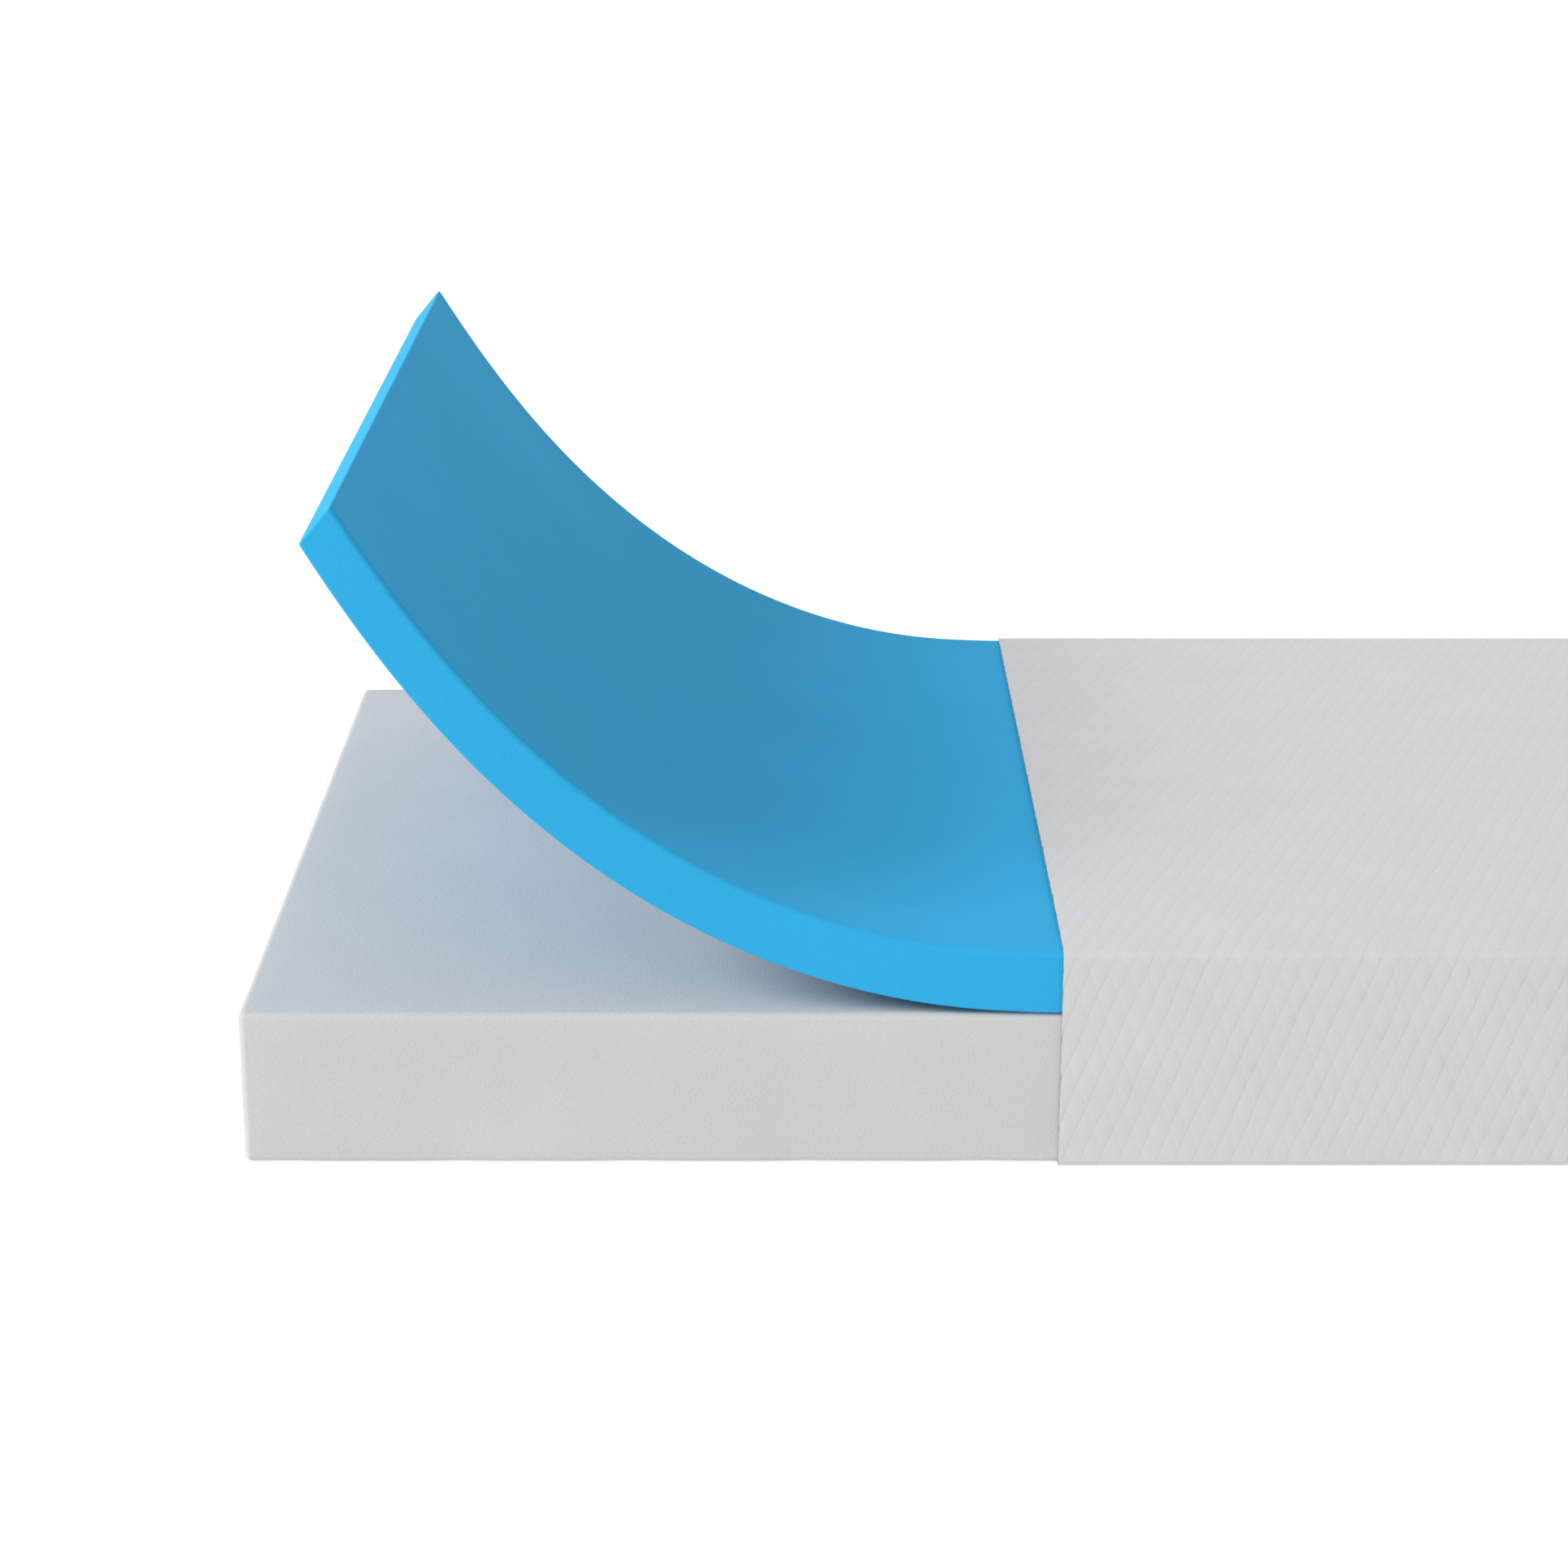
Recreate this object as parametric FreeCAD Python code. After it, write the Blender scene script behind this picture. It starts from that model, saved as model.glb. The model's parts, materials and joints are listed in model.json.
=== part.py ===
"""Twin memory foam mattress, opened up at its head end. Millimetres, +Z up.

The origin is the centre of the footprint on the floor. The head end is at -X, the foot end at +X,
and the front long side faces -Y. A knitted cover is drawn over the foot end like a sock. At the head
end the foam is bare, and the comfort layer is peeled up off the support core.

The comfort layer is one slab of foam. Its bare end is made here as a row of blocks, each turned about
a hinge line above the slab, so that closing all the hinges lays the slab flat on the support core.
"""

import FreeCAD, Part
import math
import os

# ---- driving dimensions ------------------------------------------------------------------------
LENGTH = 1905.0             # outside length, twin size
WIDTH = 965.0               # outside width, twin size
HEIGHT = 203.0              # outside height, an eight-inch mattress
BARE_LENGTH = 710.0         # foam left bare at the head end

CORE_T = 141.0              # support core
GLUE_T = 0.4                # adhesive between the two foams, sprayed in stripes
GLUE_STRIPES = 12
GLUE_PITCH = 78.0
GLUE_STRIPE_W = 46.0
GLUE_MARGIN = 14.0          # the stripes stop this far from the cover's edge and the foot end
CORE_R = 7.0                # rounding of the support core's edges
COMFORT_R = 5.0             # rounding of the comfort layer's upper edges
COMFORT_LOWER_R = 2.5       # rounding of its lower edges
COMFORT_TIP_T = 43.0        # comfort layer's thickness at its free end

COVER_T = 1.8               # knitted cover
SOCK_T = 0.8                # fire barrier sock under the cover
SOCK_CLEAR = 0.1            # between the foam and the sock
COVER_CLEAR = 0.3           # between the sock and the cover
SOCK_SETBACK = 6.0          # the sock ends this far inside the cover's open edge

# ---- the peel ----------------------------------------------------------------------------------
PEEL_SEGMENTS = 10
PEEL_SETBACK = 23.0         # the layer stays flat for this far outside the cover
PEEL_ANGLE = 59.6           # tilt of the free end, in degrees
PEEL_POWER = 1.38           # above 1, the bend is tighter near the cover than at the free end
HINGE_HEIGHT = 91.0         # hinge lines above the layer's lower face, when it is flat
TIP_LEAN = 12.0             # the free end's face leans out by this many degrees towards its top
BLOCK_GAP = 0.4             # between neighbouring blocks when the layer is flat

# ---- seams -------------------------------------------------------------------------------------
SEAM_W = 3.0                # width of a sewn seam
SEAM_SINK = 0.4             # a seam lies this much below the cover's two faces
FOOT_SEAM_INSET = 12.0      # from the foot end to the seam round it
BOTTOM_SEAM_INSET = 10.0    # from the sides to the seam round the bottom panel

# ---- zip across the foot end -------------------------------------------------------------------
ZIP_Z = 45.0                # height of the zip's centre line
ZIP_HALF_LENGTH = 430.0
ZIP_SLOT_HALF = 5.5         # half the height of the gap between the two foot panels
TAPE_T = 0.6
TAPE_W = 14.0
COIL_NEAR, COIL_FAR = 0.6, 3.2          # one coil, from the centre line
COIL_IN, COIL_OUT = 2.5, 0.3            # its depth behind the outside of the foot end
STOP_L = 4.0
GARAGE_L, GARAGE_H, GARAGE_T = 20.0, 24.0, 1.6
SLIDER_L = 13.0
SLIDER_HALF_W = 5.0
SLIDER_PLATE_T = 1.5
SLIDER_INNER_T = 1.0
SLIDER_WEB_T = 0.7
SLIDER_WEB_L = 4.0
SLIDER_REST_Y = -418.0
PIN_R = 0.8                 # pivot of the zip pull
PULL_CLEAR = 0.06           # running clearance round the pivot
PULL_EYE_R = 1.5
PULL_EYE_W = 3.0
PULL_L = 32.0
PULL_W = 7.0
PULL_T = 1.2
EAR_T = 1.0
EAR_GAP = 0.2
PIN_STANDOFF = 1.8          # pivot axis above the slider's plate

# ---- care label --------------------------------------------------------------------------------
LABEL_W, LABEL_H, LABEL_T = 62.0, 92.0, 0.35
LABEL_Y, LABEL_Z = 320.0, 120.0

# ---- worked out from those ---------------------------------------------------------------------
HEAD_X = -LENGTH / 2
FOOT_X = LENGTH / 2
SIDE_Y = WIDTH / 2
CUT_X = HEAD_X + BARE_LENGTH
COVER_OFFSET = SOCK_CLEAR + SOCK_T + COVER_CLEAR + COVER_T     # foam to the outside of the cover
ZIP_ROOM = 2.2                                                 # extra room for the zip at the foot
FOAM_X1 = FOOT_X - COVER_OFFSET - ZIP_ROOM
FOAM_Y = SIDE_Y - COVER_OFFSET
FOAM_Z0 = COVER_OFFSET
FOAM_Z1 = HEIGHT - COVER_OFFSET
CORE_Z1 = FOAM_Z0 + CORE_T
COMFORT_Z0 = CORE_Z1 + GLUE_T
COMFORT_T = FOAM_Z1 - COMFORT_Z0
PEEL_X = CUT_X - PEEL_SETBACK
PEEL_LENGTH = PEEL_X - HEAD_X
SEGMENT_L = PEEL_LENGTH / PEEL_SEGMENTS
FOOT_SEAM_X = FOOT_X - FOOT_SEAM_INSET

AXIS_Y = FreeCAD.Vector(0, 1, 0)


# ---- helpers -----------------------------------------------------------------------------------
def box(x0, x1, y0, y1, z0, z1):
    return Part.makeBox(x1 - x0, y1 - y0, z1 - z0, FreeCAD.Vector(x0, y0, z0))


def rounded_box(x0, x1, y0, y1, z0, z1, radius):
    solid = box(x0, x1, y0, y1, z0, z1)
    return solid.makeFillet(radius, solid.Edges)


def foam_outline(offset, foot_x, x0=HEAD_X - 50.0):
    """A rounded block, offset outwards from the foam, that runs out past the head end."""
    return rounded_box(x0, foot_x, -FOAM_Y - offset, FOAM_Y + offset,
                       FOAM_Z0 - offset, FOAM_Z1 + offset, COMFORT_R + offset)


def shell(outer_offset, inner_offset, outer_foot_x, inner_foot_x):
    """The skin between two outlines, open at the head end where the cover stops."""
    skin = foam_outline(outer_offset, outer_foot_x).cut(foam_outline(inner_offset, inner_foot_x))
    return skin.common(box(CUT_X, FOOT_X + 10, -SIDE_Y - 10, SIDE_Y + 10, -10, HEIGHT + 10))


def edges_along(solid, axis, test=None):
    """The straight edges that run along axis, 0 for X, 1 for Y or 2 for Z."""
    found = []
    for edge in solid.Edges:
        step = edge.Vertexes[-1].Point.sub(edge.Vertexes[0].Point)
        if abs(abs(step[axis]) - step.Length) < 1e-6 and (test is None or test(edge.CenterOfMass)):
            found.append(edge)
    return found


# ---- foams -------------------------------------------------------------------------------------
def support_core():
    return rounded_box(HEAD_X, FOAM_X1, -FOAM_Y, FOAM_Y, FOAM_Z0, CORE_Z1, CORE_R)


def comfort_root():
    """The part of the comfort layer that stays flat: glued down under the cover, and just outside it."""
    slab = box(PEEL_X, FOAM_X1, -FOAM_Y, FOAM_Y, COMFORT_Z0, FOAM_Z1)
    long_upper = edges_along(slab, 0, lambda c: c.z > FOAM_Z1 - 1)
    foot_upper = edges_along(slab, 1, lambda c: c.x > FOAM_X1 - 1 and c.z > FOAM_Z1 - 1)
    foot_corners = edges_along(slab, 2, lambda c: c.x > FOAM_X1 - 1)
    slab = slab.makeFillet(COMFORT_R, long_upper + foot_upper + foot_corners)
    return slab.makeFillet(COMFORT_LOWER_R, edges_along(slab, 0, lambda c: c.z < COMFORT_Z0 + 1))


def layer_thickness(s):
    """Thickness of the bare comfort layer, s from where it starts to lift."""
    return COMFORT_T + (COMFORT_TIP_T - COMFORT_T) * s / PEEL_LENGTH


def layer_tilt(s):
    """Tilt of the peeled layer, in degrees, s from where it starts to lift."""
    return PEEL_ANGLE * (1 - (1 - s / PEEL_LENGTH) ** PEEL_POWER)


def flat_block(index):
    """Block 1 is next to the cover. Each is made as it lies when the layer is flat."""
    s0, s1 = (index - 1) * SEGMENT_L, index * SEGMENT_L
    x0 = PEEL_X - s1
    x1 = PEEL_X - s0 - BLOCK_GAP
    is_tip = index == PEEL_SEGMENTS
    lean = COMFORT_TIP_T * math.tan(math.radians(TIP_LEAN)) if is_tip else 0.0
    corners = [(x0 + lean, 0), (x1, 0), (x1, layer_thickness(s0)), (x0, layer_thickness(s1))]
    outline = [FreeCAD.Vector(x, -FOAM_Y, COMFORT_Z0 + z) for x, z in corners]
    block = Part.Face(Part.makePolygon(outline + outline[:1])).extrude(AXIS_Y * 2 * FOAM_Y)

    def outside_edges(is_lower):
        """The block's edges that are edges of the whole layer too."""
        found = []
        for edge in block.Edges:
            bound = edge.BoundBox
            faces_block = bound.XMin > x1 - 0.01 or (bound.XMax < x0 + 0.01 and not is_tip)
            if (bound.ZMax < COMFORT_Z0 + 0.01) == is_lower and not faces_block:
                found.append(edge)
        return found

    block = block.makeFillet(COMFORT_R, outside_edges(False))
    return block.makeFillet(COMFORT_LOWER_R, outside_edges(True))


def hinge_chain():
    """Each block's placement in the peeled layer, worked out hinge by hinge from the cover."""
    placement = FreeCAD.Placement()
    before = 0.0
    chain = []
    for index in range(1, PEEL_SEGMENTS + 1):
        hinge = FreeCAD.Vector(PEEL_X - (index - 1) * SEGMENT_L, 0, COMFORT_Z0 + HINGE_HEIGHT)
        tilt = layer_tilt((index - 0.5) * SEGMENT_L)
        turn = FreeCAD.Placement(FreeCAD.Vector(), FreeCAD.Rotation(AXIS_Y, tilt - before), hinge)
        placement = placement.multiply(turn)
        chain.append(placement)
        before = tilt
    return chain


def adhesive_bond():
    """Sprayed stripes of adhesive that hold the comfort layer down under the cover."""
    made = []
    for i in range(GLUE_STRIPES):
        y = (i - (GLUE_STRIPES - 1) / 2) * GLUE_PITCH
        made.append(box(CUT_X + GLUE_MARGIN, FOAM_X1 - GLUE_MARGIN,
                        y - GLUE_STRIPE_W / 2, y + GLUE_STRIPE_W / 2, CORE_Z1, COMFORT_Z0))
    return Part.makeCompound(made)


# ---- sock and cover ----------------------------------------------------------------------------
def fire_barrier_sock():
    skin = shell(SOCK_CLEAR + SOCK_T, SOCK_CLEAR, FOAM_X1 + SOCK_CLEAR + SOCK_T, FOAM_X1 + SOCK_CLEAR)
    return skin.cut(box(CUT_X - 1, CUT_X + SOCK_SETBACK, -SIDE_Y, SIDE_Y, -1, HEIGHT))


def cover_skin(sink=0.0):
    """The whole cover, before it is cut into panels. sink thins it from both faces."""
    return shell(COVER_OFFSET - sink, COVER_OFFSET - COVER_T + sink, FOOT_X - sink, FOOT_X - COVER_T + sink)


BOTTOM_Y = SIDE_Y - BOTTOM_SEAM_INSET
BOTTOM_X1 = FOOT_X - FOOT_SEAM_INSET
BOTTOM_TOP = COVER_OFFSET            # higher than the bottom panel, lower than the sides' fabric


def bottom_zone(grow=0.0):
    return box(CUT_X - 1, BOTTOM_X1 - SEAM_W / 2 + grow, -BOTTOM_Y - grow, BOTTOM_Y + grow, -1, BOTTOM_TOP)


def foot_zone(grow=0.0):
    return box(FOOT_SEAM_X + SEAM_W / 2 - grow, FOOT_X + 1, -SIDE_Y - 1, SIDE_Y + 1, -1, HEIGHT + 1)


def cover_sleeve(skin):
    """One length of knit over the top and both sides, turned in under the bottom edges."""
    return skin.cut(foot_zone(SEAM_W)).cut(bottom_zone(SEAM_W))


def cover_bottom_panel(skin):
    return skin.common(bottom_zone())


def zip_slot():
    return box(FOOT_X - 5, FOOT_X + 5, -ZIP_HALF_LENGTH, ZIP_HALF_LENGTH,
               ZIP_Z - ZIP_SLOT_HALF, ZIP_Z + ZIP_SLOT_HALF)


def foot_panel_upper(skin):
    upper = box(0, FOOT_X + 1, -SIDE_Y - 1, SIDE_Y + 1, ZIP_Z, HEIGHT + 1)
    return skin.common(foot_zone()).common(upper).cut(zip_slot())


def foot_panel_lower(skin):
    lower = box(0, FOOT_X + 1, -SIDE_Y - 1, SIDE_Y + 1, -1, ZIP_Z)
    return skin.common(foot_zone()).common(lower).cut(zip_slot())


def seams(thin):
    """Sewn strips that fill the gaps between the panels, a little below the fabric's faces."""
    ring = thin.common(foot_zone(SEAM_W)).cut(foot_zone())
    under = box(CUT_X - 1, FOOT_X, -BOTTOM_Y, BOTTOM_Y, -1, BOTTOM_TOP)
    strip = thin.common(bottom_zone(SEAM_W)).cut(bottom_zone())
    foot_part = box(BOTTOM_X1 - SEAM_W / 2, FOOT_X, -SIDE_Y, SIDE_Y, -1, BOTTOM_TOP)
    return {
        "seam_foot_end": ring.cut(under),
        "seam_bottom_foot": ring.common(under).common(foot_part),
        "seam_bottom_front": strip.cut(foot_part).common(box(-2000, 2000, -SIDE_Y, 0, -1, BOTTOM_TOP)),
        "seam_bottom_back": strip.cut(foot_part).common(box(-2000, 2000, 0, SIDE_Y, -1, BOTTOM_TOP)),
    }


# ---- zip ---------------------------------------------------------------------------------------
def zip_tape(side):
    """side is 1 for the tape above the centre line and -1 for the one below."""
    x1 = FOOT_X - COVER_T
    z0, z1 = sorted((ZIP_Z + side * COIL_FAR, ZIP_Z + side * (COIL_FAR + TAPE_W)))
    return box(x1 - TAPE_T, x1, -ZIP_HALF_LENGTH - 8, ZIP_HALF_LENGTH + 8, z0, z1)


def zip_coil(side):
    z0, z1 = sorted((ZIP_Z + side * COIL_NEAR, ZIP_Z + side * COIL_FAR))
    free = ZIP_HALF_LENGTH - STOP_L
    coil = box(FOOT_X - COIL_IN, FOOT_X - COIL_OUT, -free, free, z0, z1)
    return coil.makeFillet(0.9, edges_along(coil, 1))


def zip_stop(side_y):
    """A crimped clamp over both coils at one end of the zip."""
    y0, y1 = sorted((side_y * (ZIP_HALF_LENGTH - STOP_L), side_y * (ZIP_HALF_LENGTH - 0.2)))
    clamp = box(FOOT_X - COIL_IN, FOOT_X + 0.4, y0, y1, ZIP_Z - COIL_FAR, ZIP_Z + COIL_FAR)
    return clamp.makeFillet(0.5, edges_along(clamp, 1, lambda c: c.x > FOOT_X))


def zip_garage():
    """A small folded pocket that hides the closed end of the zip."""
    y1 = -ZIP_HALF_LENGTH
    pocket = box(FOOT_X, FOOT_X + GARAGE_T, y1 - GARAGE_L, y1, ZIP_Z - GARAGE_H / 2, ZIP_Z + GARAGE_H / 2)
    return pocket.makeFillet(0.7, edges_along(pocket, 1, lambda c: c.x > FOOT_X + 1)
                             + edges_along(pocket, 2, lambda c: c.x > FOOT_X + 1))


def zip_slider():
    """Outer and inner plates joined by a web that runs between the two coils, with ears for the pull."""
    y = SLIDER_REST_Y
    y0, y1 = y - SLIDER_L / 2, y + SLIDER_L / 2
    face = FOOT_X + SLIDER_PLATE_T
    plate = box(FOOT_X, face, y0, y1, ZIP_Z - SLIDER_HALF_W, ZIP_Z + SLIDER_HALF_W)
    plate = plate.makeFillet(3.5, edges_along(plate, 0))
    inner_x1 = FOOT_X - COIL_IN - 0.2
    inner = box(inner_x1 - SLIDER_INNER_T, inner_x1, y0 + 1, y1 - 1, ZIP_Z - 4.4, ZIP_Z + 4.4)
    inner = inner.makeFillet(3.0, edges_along(inner, 0))
    web = box(inner_x1 - 0.2, FOOT_X + 0.2, y0 + 2, y0 + 2 + SLIDER_WEB_L,
              ZIP_Z - SLIDER_WEB_T / 2, ZIP_Z + SLIDER_WEB_T / 2)
    body = plate.fuse(inner).fuse(web)
    for side in (-1, 1):
        z0, z1 = sorted((ZIP_Z + side * (COIL_FAR + 0.3), ZIP_Z + side * (COIL_FAR + 1.3)))
        body = body.fuse(box(FOOT_X - 1.3, FOOT_X + 0.2, y0 + 3.5, y1 - 3.5, z0, z1))
    pin_x = face + PIN_STANDOFF
    half_gap = PULL_EYE_W / 2 + EAR_GAP
    for side in (-1, 1):
        z0, z1 = sorted((ZIP_Z + side * half_gap, ZIP_Z + side * (half_gap + EAR_T)))
        ear = box(face - 0.3, pin_x + 1.4, y - 1.6, y + 1.6, z0, z1)
        body = body.fuse(ear.makeFillet(1.3, edges_along(ear, 2, lambda c: c.x > pin_x)))
    pin = Part.makeCylinder(PIN_R, 2 * (half_gap + EAR_T / 2),
                            FreeCAD.Vector(pin_x, y, ZIP_Z - half_gap - EAR_T / 2), FreeCAD.Vector(0, 0, 1))
    return body.fuse(pin).removeSplitter()


def pull_pivot():
    return FreeCAD.Vector(FOOT_X + SLIDER_PLATE_T + PIN_STANDOFF, SLIDER_REST_Y, ZIP_Z)


def zip_pull():
    """A flat tab that lies along the zip, with an eye round the slider's pin."""
    pivot = pull_pivot()
    up = FreeCAD.Vector(0, 0, 1)
    eye = Part.makeCylinder(PULL_EYE_R, PULL_EYE_W, pivot - up * (PULL_EYE_W / 2), up)
    neck = box(pivot.x - PULL_T / 2, pivot.x + PULL_T / 2, pivot.y, pivot.y + 4,
               ZIP_Z - PULL_EYE_W / 2, ZIP_Z + PULL_EYE_W / 2)
    tab = box(pivot.x - PULL_T / 2, pivot.x + PULL_T / 2, pivot.y + 3, pivot.y + PULL_L,
              ZIP_Z - PULL_W / 2, ZIP_Z + PULL_W / 2)
    tab = tab.makeFillet(2.4, edges_along(tab, 0))
    slot = box(pivot.x - 2, pivot.x + 2, pivot.y + PULL_L - 12, pivot.y + PULL_L - 4,
               ZIP_Z - 1.4, ZIP_Z + 1.4)
    slot = slot.makeFillet(1.2, edges_along(slot, 0))
    bore = Part.makeCylinder(PIN_R + PULL_CLEAR, 20, pivot - up * 10, up)
    return eye.fuse(neck).fuse(tab).cut(slot).cut(bore).removeSplitter()


def care_label():
    """A blank satin label sewn flat to the foot end."""
    label = box(FOOT_X, FOOT_X + LABEL_T, LABEL_Y - LABEL_W / 2, LABEL_Y + LABEL_W / 2,
                LABEL_Z - LABEL_H / 2, LABEL_Z + LABEL_H / 2)
    return label.makeFillet(2.0, edges_along(label, 0))


# ---- the whole object --------------------------------------------------------------------------
def parts():
    skin = cover_skin()
    made = {
        "support_core": support_core(),
        "comfort_layer_root": comfort_root(),
        "adhesive_bond": adhesive_bond(),
        "fire_barrier_sock": fire_barrier_sock(),
        "cover_sleeve": cover_sleeve(skin),
        "cover_bottom_panel": cover_bottom_panel(skin),
        "foot_panel_upper": foot_panel_upper(skin),
        "foot_panel_lower": foot_panel_lower(skin),
        "zip_tape_upper": zip_tape(1),
        "zip_tape_lower": zip_tape(-1),
        "zip_coil_upper": zip_coil(1),
        "zip_coil_lower": zip_coil(-1),
        "zip_closed_end_stop": zip_stop(-1),
        "zip_open_end_stop": zip_stop(1),
        "zip_garage": zip_garage(),
        "zip_slider": zip_slider(),
        "zip_pull": zip_pull(),
        "care_label": care_label(),
    }
    made.update(seams(cover_skin(SEAM_SINK)))
    for index, placement in enumerate(hinge_chain(), 1):
        made[f"comfort_layer_{index:02d}"] = flat_block(index).transformed(placement.toMatrix())
    return made


os.makedirs("parts", exist_ok=True)
for name, shape in parts().items():
    for solid in shape.Solids:
        if not solid.isValid() or solid.Volume <= 0:
            print("bad solid in", name)
    print(f"{name}: {len(shape.Solids)} solid(s), {sum(s.Volume for s in shape.Solids) / 1000:.2f} cm3")
    shape.exportStep(f"parts/{name}.step")
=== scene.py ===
import json
import math

import bmesh
import bpy
import numpy as np
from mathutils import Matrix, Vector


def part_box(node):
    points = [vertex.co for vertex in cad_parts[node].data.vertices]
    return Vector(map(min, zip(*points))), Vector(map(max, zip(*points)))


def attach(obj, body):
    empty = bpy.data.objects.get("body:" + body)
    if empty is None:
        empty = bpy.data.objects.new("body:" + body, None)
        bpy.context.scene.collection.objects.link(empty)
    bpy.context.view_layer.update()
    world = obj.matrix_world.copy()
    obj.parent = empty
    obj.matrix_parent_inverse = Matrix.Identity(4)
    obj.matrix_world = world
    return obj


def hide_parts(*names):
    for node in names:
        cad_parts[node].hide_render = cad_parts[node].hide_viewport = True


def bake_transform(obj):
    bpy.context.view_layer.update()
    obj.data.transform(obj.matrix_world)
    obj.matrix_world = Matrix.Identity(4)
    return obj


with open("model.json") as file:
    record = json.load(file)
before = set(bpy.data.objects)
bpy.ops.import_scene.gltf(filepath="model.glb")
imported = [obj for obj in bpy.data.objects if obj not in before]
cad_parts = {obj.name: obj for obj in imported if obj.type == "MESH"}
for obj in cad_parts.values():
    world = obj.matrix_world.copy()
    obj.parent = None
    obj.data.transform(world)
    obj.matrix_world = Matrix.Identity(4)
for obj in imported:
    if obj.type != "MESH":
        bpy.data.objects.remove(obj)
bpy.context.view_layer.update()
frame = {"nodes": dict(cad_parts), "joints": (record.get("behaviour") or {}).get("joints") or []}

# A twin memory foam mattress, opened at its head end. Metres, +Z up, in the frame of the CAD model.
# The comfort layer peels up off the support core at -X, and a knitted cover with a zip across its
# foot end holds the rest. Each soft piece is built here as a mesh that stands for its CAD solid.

# ---- measures taken from the frame ----
JOINTS = {joint["name"]: joint for joint in frame["joints"]}
PEEL_JOINTS = sorted(name for name in JOINTS if name.startswith("peel_bend"))

CORE_LO, CORE_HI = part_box("support_core")
ROOT_LO, ROOT_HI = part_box("comfort_layer_root")
SLEEVE_LO, SLEEVE_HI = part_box("cover_sleeve")
SOCK_LO, SOCK_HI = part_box("fire_barrier_sock")
FOOT_LO, FOOT_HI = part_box("foot_panel_upper")
COIL_LO, COIL_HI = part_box("zip_coil_upper")
BOTTOM_LO, BOTTOM_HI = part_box("cover_bottom_panel")

HEAD_X = CORE_LO.x
CUT_X = SLEEVE_LO.x
FOOT_X = FOOT_HI.x
SIDE_Y = SLEEVE_HI.y
TOP_Z = SLEEVE_HI.z
PEEL_X = ROOT_LO.x
PEEL_LENGTH = PEEL_X - HEAD_X
BLOCK_LENGTH = PEEL_LENGTH / len(PEEL_JOINTS)
HINGE_HEIGHT = JOINTS[PEEL_JOINTS[0]]["pos_m"][2] - ROOT_LO.z
ZIP_Z = (COIL_LO.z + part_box("zip_coil_lower")[1].z) / 2
COVER_T = BOTTOM_HI.z

# ---- shapes ----
COVER_R = 0.008           # rounding of the edges of the cover, the support foam and the sock
CORE_R = 0.007
SOCK_R = 0.0059
SOCK_T = 0.0008
COMFORT_R = 0.005         # and of the comfort layer's upper and lower edges
COMFORT_LOWER_R = 0.0025
FOAM_CELL = 0.02          # size of the foams' and the sock's mesh faces
EDGE_STEPS = 4            # lines that divide each half of a rounded edge
CORNER_POINTS = 7         # points round each corner of the comfort layer's section
SIDE_PARTS = 2            # parts that its sides are divided into
FACE_PARTS = 32           # and its upper and lower faces
FLAT_STATIONS = 40        # sections along its flat part
BLOCK_STATIONS = 12       # and along each block that bends
TIP_T = 0.041             # its thickness at its free end
TAPER_POWER = 1.3         # it thins slowly at first
TIP_LEAN = math.radians(19.5)
TIP_R = 0.0025            # rounding round its two end faces
TIP_EXTRA = 0.012         # how far it runs past the support foam when it lies flat
PEEL_ANGLE = math.radians(59.6)     # its tilt at the free end
PEEL_POWER = 1.38         # it bends most near the cover
FOAM_WAVE = 0.00025       # unevenness of the cut foam
WAVE_SHIFT = 1.6 * FOAM_WAVE        # keeps the unevenness inside the true faces

DIAMOND_W = 0.0163        # the knit's diamonds, along the mattress
DIAMOND_L = 0.042         # and round it
GROOVE = 0.0005           # depth of the pattern
LINE_SHARES = (0.0, 0.08, 0.5, 0.92, 1.0)       # where its relief bends, from one line to the next
RISING_RELIEF = (0.0, 0.5, 0.75, 1.0, 0.0)      # each diamond has a lip beside its rising line
FALLING_RELIEF = (0.0, 0.9, 1.0, 0.8, 0.0)
KNIT_WANDER = 0.0005      # how far its lines stray
EDGE_RELIEF = 0.4         # share of its relief that is left over a rounded edge
SLEEVE_SIDE_GAP = 0.001   # from the end of the cover's lower rounding to the sleeve's edge

STITCH_W = 0.0013         # one stitch of the knit
STITCH_L = 0.0011
RIB_W = 0.0028            # one rib of the sock
TWIST = 0.0005            # one turn of a thread's strands

SEAM_W = 0.003
SEAM_Z = 0.001            # height of the seams under the mattress
ZIP_SLOT = 0.011          # width of the opening that shows the zip
ZIP_SLOT_END = 0.004      # how far it runs past the coils
ZIP_STITCH = 0.009        # from the zip's middle to the stitches beside it
TURNED_EDGE = 0.01        # width that the foot panels turn round the foot end's edges
FOOT_BEYOND = 0.02        # how far the box that they are cut from runs past that
EDGE_FADE = 0.004         # where the foot panels' relief fades out, along their edges
EDGE_SUNK = 0.0004        # and how far those edges are drawn in
DOT_H = 0.0005            # grip dots under the mattress
DOT_R = 0.0022
DOT_PITCH = 0.022
DOT_SIDES = 8

AMBIENT = 0.62            # strength of the surroundings' light
CAMERA_PITCH = math.radians(18.58)      # how far the camera looks down


# ---- mesh helpers ----
def add_mesh(name, points, faces, material, sharp_deg=50):
    mesh = bpy.data.meshes.new(name)
    mesh.from_pydata(np.asarray(points).tolist(), [], [list(map(int, face)) for face in faces])
    mesh.validate()
    mesh.shade_smooth()
    if sharp_deg:
        mesh.set_sharp_from_angle(angle=math.radians(sharp_deg))
    mesh.materials.append(material)
    piece = bpy.data.objects.new(name, mesh)
    bpy.context.scene.collection.objects.link(piece)
    return piece


def unit(v):
    return v / np.linalg.norm(v, axis=-1, keepdims=True)


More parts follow.
